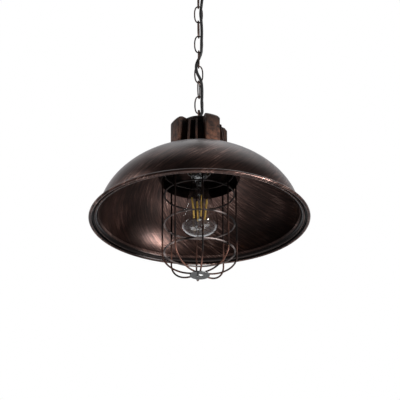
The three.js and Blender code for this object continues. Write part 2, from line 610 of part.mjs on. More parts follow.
function addLamp() {
  const up = (points) => points.map(([r, z]) => [r, z + rimZ]);
  const outer = up(glassOutline(0));
  const inner = up(glassOutline(GLASS_WALL)).reverse();
  put('lamp_glass', turned([...outer, ...inner], 24), 0xf2f2f0, 0.05, 0);

  const r = SHELL_R;
  const bore = neckR + 3 * GAP;
  const shell = [[bore, shellFoot], [r, shellFoot], [r, shellFoot + 4]];
  for (let i = 0; i < THREAD_TURNS; i++) {
    const at = shellFoot + 5.2 + THREAD_PITCH * i;
    shell.push([r - THREAD_DEPTH, at], [r, at + THREAD_PITCH / 2]);
  }
  const wall = 2.2;
  const inside = r - wall;
  shell.push([inside + 1, shellTop], [inside, shellTop], [inside, shellFoot + 4], [bore, shellFoot + 3.6]);
  put('lamp_screw_shell', turnedRing(up(shell), FINE), 0xb9bbbd, 0.3, 0.95);
  const seat = shellTop + GAP;
  const cone = [[4.6, seat], [r - 1.6, seat], [r - 2.4, seat + 1.3], [5, seat + 4.1], [4.6, seat + 4.1]];
  put('lamp_insulator', turnedRing(up(cone)), 0x141414, 0.3, 0);
  const tip = shellTop + CONTACT_RISE;
  const contact = [[0, tip - 3.4], [4.3, tip - 3.4], [4.3, tip - 1.2], [2.6, tip - 0.2], [0, tip]];
  put('lamp_contact', turned(up(contact), 16), 0xa8a8a4, 0.35, 0.95);

  const [fz0, fz1] = FILAMENT_LEVELS;
  const flare = GLASS_TOP - 4;
  const stem = [[0, fz1 + 6], [3, fz1 + 6], [3.4, fz1 + 22], [6, flare - 8], [neckR - 2.1, flare],
    [0, flare]];
  put('lamp_stem', turned(up(stem), 20), 0xdfe2e2, 0.1, 0);
  const post = turned(up([[0, fz0 - 3.4], [1.8, fz0 - 3.4], [3.2, fz0 - 2.4], [3.2, fz0 - 1], [0.6, fz0],
    [0.6, fz1 + 5.7], [0, fz1 + 5.7]]), 10);
  put('lamp_post', post, 0xa9aaab, 0.35, 0.9);
  const [r0, r1] = FILAMENT_RADII;
  for (let i = 0; i < FILAMENTS; i++) {
    const a = rad(FILAMENT_TURN - 90 + i * 360 / FILAMENTS);
    const bottom = new THREE.Vector3(r0 * Math.cos(a), r0 * Math.sin(a), rimZ + fz0);
    const head = new THREE.Vector3(r1 * Math.cos(a), r1 * Math.sin(a), rimZ + fz1);
    const strip = wireAlong(new THREE.LineCurve3(bottom, head), 2 * FILAMENT_R, 6, 1);
    put(`lamp_filament_${i + 1}`, strip, 0xe2b450, 0.4, 0);
  }
}

addRose();
addRoseLoop();
addChain();
addCord();
addEye();
addCap();
addCapScrews();
addShade();
addGallery();
addCage();
addLampholder();
addLamp();

export default light;
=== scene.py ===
"""A pendant dome light on a chain: a spun shade with a rolled edge, a cast cap with fins, a bulb cage,
a filament lamp and the chain and cord that carry it. Metres, +Z up, the ceiling at z = 0."""

import json
import math

import bmesh
import bpy
import numpy as np
from mathutils import Euler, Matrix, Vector


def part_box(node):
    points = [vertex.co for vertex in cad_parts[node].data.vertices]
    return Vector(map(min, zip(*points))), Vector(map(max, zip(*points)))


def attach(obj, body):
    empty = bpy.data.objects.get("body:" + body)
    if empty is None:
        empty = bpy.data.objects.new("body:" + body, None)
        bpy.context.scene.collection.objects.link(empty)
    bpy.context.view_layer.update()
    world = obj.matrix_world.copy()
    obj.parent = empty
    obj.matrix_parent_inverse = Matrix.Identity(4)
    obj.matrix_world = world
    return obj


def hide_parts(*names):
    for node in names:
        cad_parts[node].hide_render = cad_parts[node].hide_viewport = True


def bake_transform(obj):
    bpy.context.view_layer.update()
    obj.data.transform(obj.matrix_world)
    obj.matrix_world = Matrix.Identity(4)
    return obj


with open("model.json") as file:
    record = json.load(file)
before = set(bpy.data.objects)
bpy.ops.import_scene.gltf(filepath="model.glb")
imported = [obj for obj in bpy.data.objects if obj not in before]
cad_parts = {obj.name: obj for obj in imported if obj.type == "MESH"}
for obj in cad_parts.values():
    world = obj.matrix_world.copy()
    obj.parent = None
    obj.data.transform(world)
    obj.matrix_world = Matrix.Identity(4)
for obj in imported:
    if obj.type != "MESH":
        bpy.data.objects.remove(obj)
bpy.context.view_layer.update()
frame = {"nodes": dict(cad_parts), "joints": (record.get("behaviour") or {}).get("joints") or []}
MM = 0.001
TAU = 2 * math.pi

bl_info = {
    "name": "Pendant dome light",
    "version": (1, 0, 0),
    "blender": (4, 5, 0),
    "location": "View3D > Sidebar > Pendant",
    "description": "Builds a dome pendant light piece by piece round its packed frame",
    "category": "Object",
}


def low(node):
    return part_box(node)[0]


def high(node):
    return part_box(node)[1]


HOLE_R = 22.5 * MM         # the hole through the crown and the gallery, round the lampholder
CLEARANCE = 0.3 * MM       # between pieces that touch
FLOOR_Z = -2.4
RIM_DROP = 1.8 * MM        # how far the rolled edge hangs below the plane of the rim
RIM_Z = low("dome_shade").z + RIM_DROP
RIM_R = high("dome_shade").x


# ---- sizes and colours that a user would change ----
def length(name, description, default):
    return bpy.props.FloatProperty(name=name, description=description, default=default, unit="LENGTH")


def tint(name, description, default):
    return bpy.props.FloatVectorProperty(
        name=name, description=description, default=default, subtype="COLOR", size=3, min=0, max=1)


class PendantSizes(bpy.types.PropertyGroup):
    dome_radius: length("Dome radius", "Outside of the dome where it meets its flange", 162.5 * MM)
    dome_rise: length("Dome rise", "From the dome's foot to the top of its full curve", 115 * MM)
    dome_foot: length("Dome foot", "The dome's foot above the plane of the rim", 9 * MM)
    crown_radius: length("Crown", "Radius of the flat seat at the top of the dome", 50 * MM)
    sheet: length("Sheet", "Thickness of the spun metal", 1.2 * MM)
    wire: length("Cage wire", "Thickness of the cage's wire", 2.8 * MM)
    chain_wire: length("Chain wire", "Thickness of the chain's wire", 2.3 * MM)
    cord: length("Cord", "Thickness of the mains cord", 5 * MM)


class PendantColours(bpy.types.PropertyGroup):
    ground: tint("Ground", "The dark bronze under the brushing", (0.0085, 0.0062, 0.0058))
    rub: tint("Rub", "The copper brushed over it", (0.19, 0.098, 0.078))
    bright: tint("Bright", "Where the brushing is heaviest", (0.50, 0.36, 0.31))
    casting: tint("Casting", "The copper that shows through the cast cap", (0.23, 0.098, 0.058))
    zinc: tint("Zinc", "The cage's hub", (0.19, 0.19, 0.19))
    phosphor: tint("Phosphor", "The lamp's filaments when off", (0.80, 0.50, 0.10))
    flex: tint("Flex", "The mains cord", (0.010, 0.0095, 0.0095))


def sizes():
    return bpy.context.scene.pendant_sizes


def colours():
    return bpy.context.scene.pendant_colours


# ---- shader expressions ----
class Value:
    """A socket that Python's operators work on: each one adds a Math node."""

    def __init__(self, finish, socket):
        self.finish = finish
        self.socket = socket

    def math(self, operation, *others):
        values = {i + 1: other for i, other in enumerate(others)}
        return self.finish.node("ShaderNodeMath", {"operation": operation}, {0: self, **values})

    def __add__(self, other):
        return self.math("ADD", other)

    def __mul__(self, other):
        return self.math("MULTIPLY", other)

    def __sub__(self, other):
        return self.math("SUBTRACT", other)

    def __rsub__(self, other):
        return self.math("MULTIPLY", -1).math("ADD", other)

    def __truediv__(self, other):
        return self.math("DIVIDE", other)

    __radd__ = __add__
    __rmul__ = __mul__

    def clamped(self):
        return self.math("MINIMUM", 1).math("MAXIMUM", 0)

    def over(self, start, end):
        """0 below start and 1 above end, and a straight ramp between them."""
        return ((self - start) / (end - start)).clamped()


class Finish:
    """A material under construction, with one Principled shader."""

    def __init__(self, name, **fixed):
        self.material = bpy.data.materials.new(name)
        self.material.use_nodes = True
        self.tree = self.material.node_tree
        self.tree.nodes.clear()
        self.shader = self.tree.nodes.new("ShaderNodeBsdfPrincipled")
        output = self.tree.nodes.new("ShaderNodeOutputMaterial")
        self.tree.links.new(self.shader.outputs[0], output.inputs[0])
        for socket, value in fixed.items():
            self.shader.inputs[socket.replace("_", " ")].default_value = value

    def node(self, kind, settings=None, sockets=None, output=0):
        made = self.tree.nodes.new(kind)
        for key, value in (settings or {}).items():
            setattr(made, key, value)
        for key, value in (sockets or {}).items():
            if isinstance(value, Value):
                self.tree.links.new(value.socket, made.inputs[key])
            else:
                made.inputs[key].default_value = value
        return Value(self, made.outputs[output])

    def feed(self, socket, value):
        self.tree.links.new(value.socket, self.shader.inputs[socket])

    def place(self):
        return self.node("ShaderNodeTexCoord", output="Object")

    def parts(self, vector):
        return [self.node("ShaderNodeSeparateXYZ", None, {0: vector}, i) for i in range(3)]

    def vector(self, x, y, z):
        return self.node("ShaderNodeCombineXYZ", None, {0: x, 1: y, 2: z})

    def noise(self, vector, scale, detail=3.0, roughness=0.55):
        return self.node("ShaderNodeTexNoise", {"noise_dimensions": "3D"}, {
            "Vector": vector, "Scale": scale, "Detail": detail, "Roughness": roughness})

    def mix(self, factor, first, second):
        """From the first colour to the second as the factor goes from 0 to 1."""
        made = self.tree.nodes.new("ShaderNodeMix")
        made.data_type = "RGBA"
        for key, value in ((0, factor), (6, first), (7, second)):
            if isinstance(value, Value):
                self.tree.links.new(value.socket, made.inputs[key])
            elif key:
                made.inputs[key].default_value = (*value[:3], 1)
            else:
                made.inputs[key].default_value = value
        return Value(self, made.outputs[2])

    def bump(self, height, distance, strength=1.0):
        made = self.node("ShaderNodeBump", None, {
            "Height": height, "Distance": distance, "Strength": strength})
        self.feed("Normal", made)


def brush_lines(finish, lean, fine, reach):
    """Brush strokes round the light's own axis. The place round the axis is taken from the direction of
    the point, turned by lean radians for each metre of height, so that the strokes are slanted lines:
    fine sets how close they lie, and reach how quickly they change along their length."""
    x, y, z = finish.parts(finish.place())
    radius = (x * x + y * y).math("SQRT").math("MAXIMUM", 0.004)
    turn = z * lean
    c, s = turn.math("COSINE"), turn.math("SINE")
    across = (x * c - y * s) / radius * fine
    along = (x * s + y * c) / radius * fine
    return finish.noise(finish.vector(across, along, z * reach), 1.0, 4.0, 0.62)


def brushed_bronze(name, lean, amount, rough):
    """Dark bronze, dry brushed with copper by hand: three sets of short strokes, each at its own slant,
    cloudy patches where the brush carried more, and the piece's own share of rubbing along its outline,
    which on the shade also holds painted shade in the cove and groove and a painted highlight between them."""
    tones = colours()
    finish = Finish(name, Metallic=0.82)
    rub = finish.node("ShaderNodeAttribute", {"attribute_name": "rub"}, output="Fac")
    strokes = brush_lines(finish, -lean, 75, 30)
    crossed = brush_lines(finish, -lean * 1.8, 120, 46)
    hairs = brush_lines(finish, -lean * 1.3, 230, 70)
    clouds = finish.noise(finish.place(), 16, 2.0)
    load = clouds.over(0.36, 0.66) * 0.8 + 0.2
    marks = strokes.over(0.47, 0.64) * 0.5 + crossed.over(0.49, 0.66) * 0.4 + hairs.over(0.48, 0.66) * 0.45
    mask = ((marks * load + 0.04) * rub * amount).clamped()
    base = finish.mix(mask, tones.ground, tones.rub)
    finish.feed("Base Color", finish.mix(mask.over(0.5, 1.0) * 0.8, base, tones.bright))
    finish.feed("Roughness", (rub.clamped() * 0.12 + rough - 0.12 + hairs * 0.14 - mask * 0.1).clamped())
    finish.bump(strokes * 0.4 + hairs * 0.6, 0.0002, 0.5)
    return finish.material


def cast_bronze(name, copper):
    """Sand cast metal: a grainy dark skin, rubbed through to copper in patches and towards its foot."""
    tones = colours()
    finish = Finish(name, Metallic=0.6)
    place = finish.place()
    z = finish.parts(place)[2]
    grain = finish.noise(place, 900, 3.0)
    blotch = finish.noise(place, 130, 4.0, 0.65)
    fade = 46 * MM
    foot = 1 - (z - low("finned_cap").z).over(0.0, fade)
    patches = blotch.over(0.36, 0.74) * 0.8 + grain.over(0.4, 0.6) * 0.2
    mask = (patches * (0.25 + foot * 0.75) * copper).clamped()
    finish.feed("Base Color", finish.mix(mask, tones.ground, tones.casting))
    finish.feed("Roughness", (0.5 + grain * 0.22 - mask * 0.1).clamped())
    finish.bump(grain * 0.6 + blotch, 0.0005, 0.5)
    return finish.material


def worn_wire(name, ground, worn, amount, scale=260, foot=None):
    """Painted wire, worn through to bare metal in stretches; where a foot is given, the bare metal fades out
    above it as painted shade, for wire that reaches up under the dome.
    """
    finish = Finish(name, Metallic=0.85)
    place = finish.place()
    wear = finish.noise(place, scale, 2.0, 0.5)
    fine = finish.noise(place, 1500, 2.0)
    mask = (wear.over(0.38, 0.72) * amount).clamped()
    if foot is not None:
        # painted shade: the worn colour fades out going up, where the wire runs into the dome's shadow
        mask = mask * (1 - (finish.parts(place)[2] - foot).over(35 * MM, 110 * MM) * 0.9)
    finish.feed("Base Color", finish.mix(mask, ground, worn))
    finish.feed("Roughness", (0.46 + fine * 0.2 - mask * 0.14).clamped())
    finish.bump(wear * 0.4 + fine * 0.3, 0.00015, 0.5)
    return finish.material


def plain_metal(name, colour, rough, scale=420):
    """Plated or bare metal with a faint mottle."""
    finish = Finish(name, Metallic=1.0)
    place = finish.place()
    mottle = finish.noise(place, scale, 3.0)
    dull = [part * 0.68 for part in colour[:3]]
    finish.feed("Base Color", finish.mix(mottle.over(0.35, 0.7), dull, colour))
    finish.feed("Roughness", (rough - 0.08 + mottle * 0.2).clamped())
    finish.bump(mottle, 0.00008, 0.5)
    return finish.material


def moulded(name, colour, rough, scale=700, depth=0.0001):
    """Plastic, rubber or ceramic: an even colour with a soft grain."""
    finish = Finish(name, Metallic=0.0)
    grain = finish.noise(finish.place(), scale, 3.0)
    shade = [part * 0.75 for part in colour[:3]]
    finish.feed("Base Color", finish.mix(grain.over(0.3, 0.7), shade, colour))
    finish.feed("Roughness", (rough - 0.07 + grain * 0.14).clamped())
    finish.bump(grain, depth, 0.5)
    return finish.material


def clear_glass(name):
    """Thin blown glass, faintly smudged in places."""
    finish = Finish(name, Transmission_Weight=1.0, IOR=1.45)
    finish.shader.inputs["Base Color"].default_value = (0.97, 0.98, 0.98, 1)
    smudge = finish.noise(finish.place(), 60, 2.0)
    finish.feed("Roughness", smudge.over(0.5, 0.8) * 0.03)
    return finish.material


# ---- surfaces ----
def quads(rows, columns, wrap_rows, wrap_columns):
    """The faces of a grid of points, each four neighbours, wrapped round where asked."""
    i = np.arange(rows if wrap_rows else rows - 1)[:, None]
    j = np.arange(columns if wrap_columns else columns - 1)[None, :]
    a = i * columns + j
    b = i * columns + (j + 1) % columns
    c = ((i + 1) % rows) * columns + (j + 1) % columns
    d = ((i + 1) % rows) * columns + j
    return np.stack([a, b, c, d], -1).reshape(-1, 4)


def joined(parts):
    """Several (points, faces) made one."""
    points, faces, start = [], [], 0
    for part_points, part_faces in parts:
        points.append(part_points)
        faces += [[int(v) + start for v in face] for face in part_faces]
        start += len(part_points)
    return np.concatenate(points), faces


def piece(name, surface, material, body, nodes=(), smooth=35):
    """Puts a surface in the scene as a named piece: it rides on its body, and stands for the given nodes
    of the frame."""
    points, faces = surface
    mesh = bpy.data.meshes.new(name)
    mesh.from_pydata(np.asarray(points, float).tolist(), [], [list(map(int, f)) for f in faces])
    mesh.validate()
    obj = bpy.data.objects.new(name, mesh)
    bpy.context.scene.collection.objects.link(obj)
    mesh.materials.append(material)
    mesh.shade_smooth()
    mesh.set_sharp_from_angle(angle=math.radians(smooth))
    if body:
        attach(obj, body)
    if nodes:
        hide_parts(*nodes)
    return obj


def fillet(points, radius, steps=4, closed=True):
    """An outline with each corner rounded: the corner is replaced by a curve that starts and ends radius
    before and after it, or a third of the shorter side where that is less."""
    outline = [np.asarray(p, float) for p in points]
    rounded, count = [], len(outline)
    for i, corner in enumerate(outline):
        if not closed and i in (0, count - 1):
            rounded.append(corner)
            continue
        before, after = outline[i - 1] - corner, outline[(i + 1) % count] - corner
        reach = min(radius, np.linalg.norm(before) / 3, np.linalg.norm(after) / 3)
        start = corner + before / max(np.linalg.norm(before), 1e-12) * reach
        end = corner + after / max(np.linalg.norm(after), 1e-12) * reach
        for t in np.linspace(0, 1, steps):
            rounded.append((1 - t) ** 2 * start + 2 * t * (1 - t) * corner + t ** 2 * end)
    return np.array(rounded)


def lathed(outline, segments=96, centre=(0, 0)):
    """A closed outline of [radius, height] carried round the vertical line through centre: the point at
    angle t is (radius cos t, radius sin t, height)."""
    outline = np.asarray(outline, float)
    area = np.sum(outline[:, 0] * np.roll(outline[:, 1], -1) - np.roll(outline[:, 0], -1) * outline[:, 1])
    t = np.linspace(0, TAU, segments, endpoint=False)[:, None]
    x = centre[0] + outline[:, 0] * np.cos(t)
    y = centre[1] + outline[:, 0] * np.sin(t)
    points = np.stack([x, y, np.broadcast_to(outline[:, 1], x.shape)], -1).reshape(-1, 3)
    faces = quads(segments, len(outline), True, True)
    return points, faces if area < 0 else faces[:, ::-1]


def pole_faces(count, final, poles):
    """The triangles that close a stack of rings of count points: from the first pole to the first ring,
    and from the second pole to the ring that starts at point final."""
    j = np.arange(count)
    k = (j + 1) % count
    lower = np.stack([np.full(count, poles[0]), k, j], -1)
    upper = np.stack([np.full(count, poles[1]), final + j, final + k], -1)
    return np.stack([lower, upper], 1).reshape(-1, 3).tolist()


def turned(outline, segments=48, centre=(0, 0)):
    """A solid of revolution whose outline starts and ends on the axis: rings of points between two poles,
    given from the lower pole up."""
    outline = np.asarray(outline, float)
    rings = outline[1:-1]
    t = np.linspace(0, TAU, segments, endpoint=False)
    x = centre[0] + rings[:, :1] * np.cos(t)
    y = centre[1] + rings[:, :1] * np.sin(t)
    body = np.stack([x, y, np.broadcast_to(rings[:, 1:], x.shape)], -1).reshape(-1, 3)
    poles = np.array([[*centre, outline[0, 1]], [*centre, outline[-1, 1]]])
    faces = quads(len(rings), segments, False, True).tolist()
    faces += pole_faces(segments, (len(rings) - 1) * segments, (len(body), len(body) + 1))
    return np.concatenate([body, poles]), faces


def frames_along(path, closed):
    """Two directions across a path at each of its points, carried along it without twisting: each pair is
    the last one with its part along the new direction taken away."""
    ahead = np.roll(path, -1, 0) - np.roll(path, 1, 0)
    if not closed:
        ahead[0], ahead[-1] = path[1] - path[0], path[-1] - path[-2]
    ahead /= np.linalg.norm(ahead, axis=1)[:, None]
    side = np.cross(ahead[0], (0, 0, 1) if abs(ahead[0][2]) < 0.9 else (1, 0, 0))
    sides = []
    for direction in ahead:
        side = side - direction * np.dot(side, direction)
        side /= np.linalg.norm(side)
        sides.append(side)
    sides = np.array(sides)
    return sides, np.cross(ahead, sides)


def swept(path, thickness, sides=16, closed=False):
    """Round wire along a path: a circle carried along it, and where the path is open each end is closed
    by a shallow dome."""
    path = np.asarray(path, float)
    radius = thickness / 2
    across, up = frames_along(path, closed)
    t = np.linspace(0, TAU, sides, endpoint=False)
    circle = across[:, None] * np.cos(t)[:, None] + up[:, None] * np.sin(t)[:, None]
    rings = path[:, None] + radius * circle
    if closed:
        return rings.reshape(-1, 3), quads(len(path), sides, True, True)
    start = (path[0] - path[1]) / np.linalg.norm(path[0] - path[1])
    end = (path[-1] - path[-2]) / np.linalg.norm(path[-1] - path[-2])
    shrink = 0.72
    dome = radius * 0.3
    first = path[0] + start * dome + radius * shrink * circle[0]
    last = path[-1] + end * dome + radius * shrink * circle[-1]
    body = np.concatenate([first[None], rings, last[None]]).reshape(-1, 3)
    poles = np.array([path[0] + start * dome * 1.4, path[-1] + end * dome * 1.4])
    faces = quads(len(path) + 2, sides, False, True).tolist()
    faces += pole_faces(sides, (len(path) + 1) * sides, (len(body), len(body) + 1))
    return np.concatenate([body, poles]), faces


def curve_through(points, per_span=6):
    """A smooth curve through the points: between two of them it is the cubic whose slope at each end is
    that of the line between that point's neighbours."""
    points = np.asarray(points, float)
    padded = np.concatenate([[2 * points[0] - points[1]], points, [2 * points[-1] - points[-2]]])
    a, b, c, d = padded[:-3, None], padded[1:-2, None], padded[2:-1, None], padded[3:, None]
    t = np.linspace(0, 1, per_span, endpoint=False)[None, :, None]
    span = 0.5 * (2 * b + (c - a) * t + (2 * a - 5 * b + 4 * c - d) * t ** 2
                  + (3 * b - a - 3 * c + d) * t ** 3)
    return np.concatenate([span.reshape(-1, 3), points[-1:]])


def prism(outline, thickness, turn, centre=(0, 0)):
    """An upright plate: an outline of [distance out, height] given a thickness, and turned about +Z."""
    outline = np.asarray(outline, float)
    if np.sum(outline[:, 0] * np.roll(outline[:, 1], -1) - np.roll(outline[:, 0], -1) * outline[:, 1]) < 0:
        outline = outline[::-1]
    count = len(outline)
    half = np.concatenate([np.full(count, -thickness / 2), np.full(count, thickness / 2)])
    out, up = np.tile(outline, (2, 1)).T
    x = centre[0] + out * math.cos(turn) - half * math.sin(turn)
    y = centre[1] + out * math.sin(turn) + half * math.cos(turn)
    i = np.arange(count)
    walls = np.stack([i, (i + 1) % count, (i + 1) % count + count, i + count], -1).tolist()
    return np.stack([x, y, up], -1), [list(range(count)), list(range(2 * count - 1, count - 1, -1)), *[
        face[::-1] for face in walls]]


def facing_out(obj):
    """Turns the faces of a closed piece outwards."""
    work = bmesh.new()
    work.from_mesh(obj.data)
    bmesh.ops.recalc_face_normals(work, faces=work.faces)
    work.to_mesh(obj.data)
    work.free()
    return obj


def along_outline(obj, values):
    """Gives each point of a lathed piece its outline's value, as the attribute that the bronze reads."""
    share = np.tile(np.asarray(values, np.float32), len(obj.data.vertices) // len(values))
    layer = obj.data.attributes.new("rub", "FLOAT", "POINT")
    layer.data.foreach_set("value", share)


def bevelled(obj, width, segments=3):
    """Rounds a piece's edges where its faces meet at more than 30 degrees."""
    modifier = obj.modifiers.new("Rounded edges", "BEVEL")
    modifier.width = width
    modifier.segments = segments
    modifier.limit_method = "ANGLE"
    modifier.angle_limit = math.radians(30)
    return obj


def dress(material, slot_name, *nodes):
    """Gives nodes of the frame, whose shapes are right as they are, their material."""
    for node in nodes:
        obj = frame["nodes"][node]
        obj.data.materials.clear()
        obj.data.materials.append(material)


class PendantPiece:
    """What the operators share."""
    bl_options = {"REGISTER", "UNDO"}


class PENDANT_OT_shade(PendantPiece, bpy.types.Operator):
    """Spin the dome, its flange with the groove, and its rolled edge from one sheet"""
    bl_idname = "pendant.shade"
    bl_label = "Dome shade"

    def execute(self, context):
        s = sizes()
        # the dome is a superellipse: (r / radius) ** power + (z / rise) ** power is 1, up to the crown
        power = 1.8
        crown = math.acos((s.crown_radius / s.dome_radius) ** (power / 2))
        t = np.linspace(0, crown, 64)
        r = s.dome_radius * np.cos(t) ** (2 / power)
        z = s.dome_foot + s.dome_rise * np.sin(t) ** (2 / power)
        outer = np.stack([r, z], -1)
        inner = np.stack([r - s.sheet * np.cos(t), z - s.sheet * np.sin(t)], -1)
        top = outer[-1][1]
        roll_in, edge = RIM_R - 5.5 * MM, RIM_R
        groove_out, groove_in = roll_in - 0.7 * MM, roll_in - 2.7 * MM
        # the cove is a quarter of an ellipse, from the dome's foot out and down to the flange's underside
        cove_width, level = 5.5 * MM, 0.4 * MM
        turn = np.radians([25, 40, 60, 75, 90])
        cove = np.stack([s.dome_radius + cove_width * (1 - np.cos(turn)),
                         level + (s.dome_foot - level) * (1 - np.sin(turn))], -1)
        flange = fillet([
            (s.dome_radius - 1.4 * MM, s.dome_foot - 0.6 * MM), *cove, (groove_in - 1.9 * MM, 0.6 * MM),
            (groove_in - 0.9 * MM, 1.0 * MM),
            (groove_in, 3.4 * MM), (groove_out, 3.4 * MM), (roll_in, level),
            (roll_in + 0.9 * MM, -0.6 * RIM_DROP), (roll_in + 2.7 * MM, -RIM_DROP),
            (edge - 0.9 * MM, -0.6 * RIM_DROP), (edge, 0.8 * MM), (edge - 0.5 * MM, 2.4 * MM),
            (edge - 2.2 * MM, 4.2 * MM), (edge - 6.4 * MM, 6.2 * MM),
            (s.dome_radius + cove_width, s.dome_foot - 2 * MM),
            (s.dome_radius + 1.7 * MM, s.dome_foot - 0.8 * MM)], 0.5 * MM, 3, closed=False)
        # under the flange: a bright copper line at the dome's foot, the cove and the groove black as painted
        # shade, a light band between them that is copper and partly a painted highlight, and a rubbed edge
        under = np.interp(flange[:, 0], [s.dome_radius - 1.5 * MM, s.dome_radius - 0.5 * MM,
                                         s.dome_radius + 0.9 * MM, groove_in - 3.2 * MM,
                                         groove_in - 2.4 * MM, groove_in - 0.5 * MM, groove_in,
                                         roll_in + 0.4 * MM, roll_in + 1.4 * MM],
                          [1.4, 2.2, 0.03, 0.03, 1.4, 1.4, 0.0, 0.0, 1.5])
        lowest = int(np.argmin(flange[:, 1]))
        rub = np.where(np.arange(len(flange)) < lowest, under, 1.5)
        rub = np.concatenate([np.full(1 + len(inner), 1.0), rub, np.full(len(outer) + 1, 1.0)])
        outline = np.concatenate([[(HOLE_R, top - s.sheet)], inner[::-1], flange, outer, [(HOLE_R, top)]])
        outline[:, 1] += RIM_Z
        bronze = brushed_bronze("brushed copper bronze", 7.0, 1.0, 0.28)
        made = piece("shade_spun", lathed(outline, 288), bronze, "fixture",
                     ["dome_shade"], 50)
        along_outline(made, rub)
        return {"FINISHED"}


class PENDANT_OT_gallery(PendantPiece, bpy.types.Operator):
    """Spin the gallery that grips the cage, with its belly and narrowed mouth"""
    bl_idname = "pendant.gallery"
    bl_label = "Cage gallery"

    def execute(self, context):
        bottom, top = low("cage_gallery").z, high("cage_gallery").z
        belly, wall = high("cage_gallery").x, 1.2 * MM
        seat, mouth = sizes().crown_radius - 2.5 * MM, belly - 6.5 * MM
        depth = top - bottom
        # each point is [radius, its share of the way down]
        side = [(seat, 0), ((seat + belly) / 2, 0.1), (belly - 3 * MM, 0.31), (belly, 0.56),
                (belly - 2.2 * MM, 0.79), (mouth, 1)]
        outer = [(r, top - share * depth) for r, share in side]
        inner = [(r - wall, top - wall - share * (depth - wall)) for r, share in side]
        outline = fillet([(HOLE_R, top - wall), *inner, *outer[::-1], (HOLE_R, top)], 6 * MM, 5)
        tones = colours()
        dark = worn_wire("blackened bronze", tones.ground, tones.rub, 0.25, 60)
        piece("gallery_spun", lathed(outline, 128), dark, "fixture", ["cage_gallery"], 60)
        return {"FINISHED"}


class PENDANT_OT_cap(PendantPiece, bpy.types.Operator):
    """Cast the cap: a core with a top disc, four chamfered blocks and two fins in each window"""
    bl_idname = "pendant.cap"
    bl_label = "Finned cap"

    def execute(self, context):
        foot, top = low("finned_cap").z, high("finned_cap").z
        disc = top - 9 * MM
        bore, core, lip = 21 * MM, 25 * MM, 27.5 * MM
        stud = 3.3 * MM
        slope = 1.6 * MM
        outline = fillet([(bore, foot), (core, foot), (core, disc - 2 * MM), (lip, disc),
                          (lip, top - slope), (lip - slope, top), (stud, top), (stud, disc),
                          (bore, disc)], 0.8 * MM, 3)
        dark = cast_bronze("cast bronze", 0.6)
        piece("cap_core", lathed(outline, 96), dark, "fixture", ["finned_cap"], 40)
        tall, chamfer, reach = 58 * MM, 9.5 * MM, 48 * MM
        spread = math.radians(32) / 2
        steps = 14
        first_block, fin_swing = -60, 9
        fin_out, fin_head, fin_tall, fin_back = 45.5 * MM, 40 * MM, 48 * MM, 52 * MM
        side = np.array([(core - 2 * MM, 0), (reach, 0), (reach, tall - chamfer * 0.75),
                         (reach - chamfer * 0.4, tall - chamfer * 0.25), (reach - chamfer, tall),
                         (core - 2 * MM, tall)])
        blocks, fins = [], []
        for i in range(4):
            toward = math.radians(first_block + 90 * i)
            t = np.linspace(toward - spread, toward + spread, steps)[:, None]
            # the wedge's flat sides meet at the axis, and its outer face is part of a cylinder
            x, y = side[:, 0] * np.cos(t), side[:, 0] * np.sin(t)
            points = np.stack([x, y, np.broadcast_to(side[:, 1] + foot, x.shape)], -1).reshape(-1, 3)
            count = len(side)
            faces = quads(steps, count, False, True).tolist()
            faces += [list(range(count)), list(range(steps * count - 1, (steps - 1) * count - 1, -1))]
            blocks.append((points, faces))
            for way in (-fin_swing, fin_swing):
                plate = [(core - 3 * MM, foot), (fin_out, foot), (fin_head, foot + fin_tall),
                         (core - 3 * MM, foot + fin_back)]
                fins.append(prism(plate, 2.6 * MM, toward + math.radians(45 + way)))
        rubbed = cast_bronze("cast bronze rubbed", 1.1)
        for name, parts, width, metal in (("cap_blocks", blocks, 1.1 * MM, rubbed),
                                          ("cap_fins", fins, 0.55 * MM, dark)):
            made = piece(name, joined(parts), metal, "fixture", ["finned_cap"], 40)
            bevelled(facing_out(made), width)
        return {"FINISHED"}


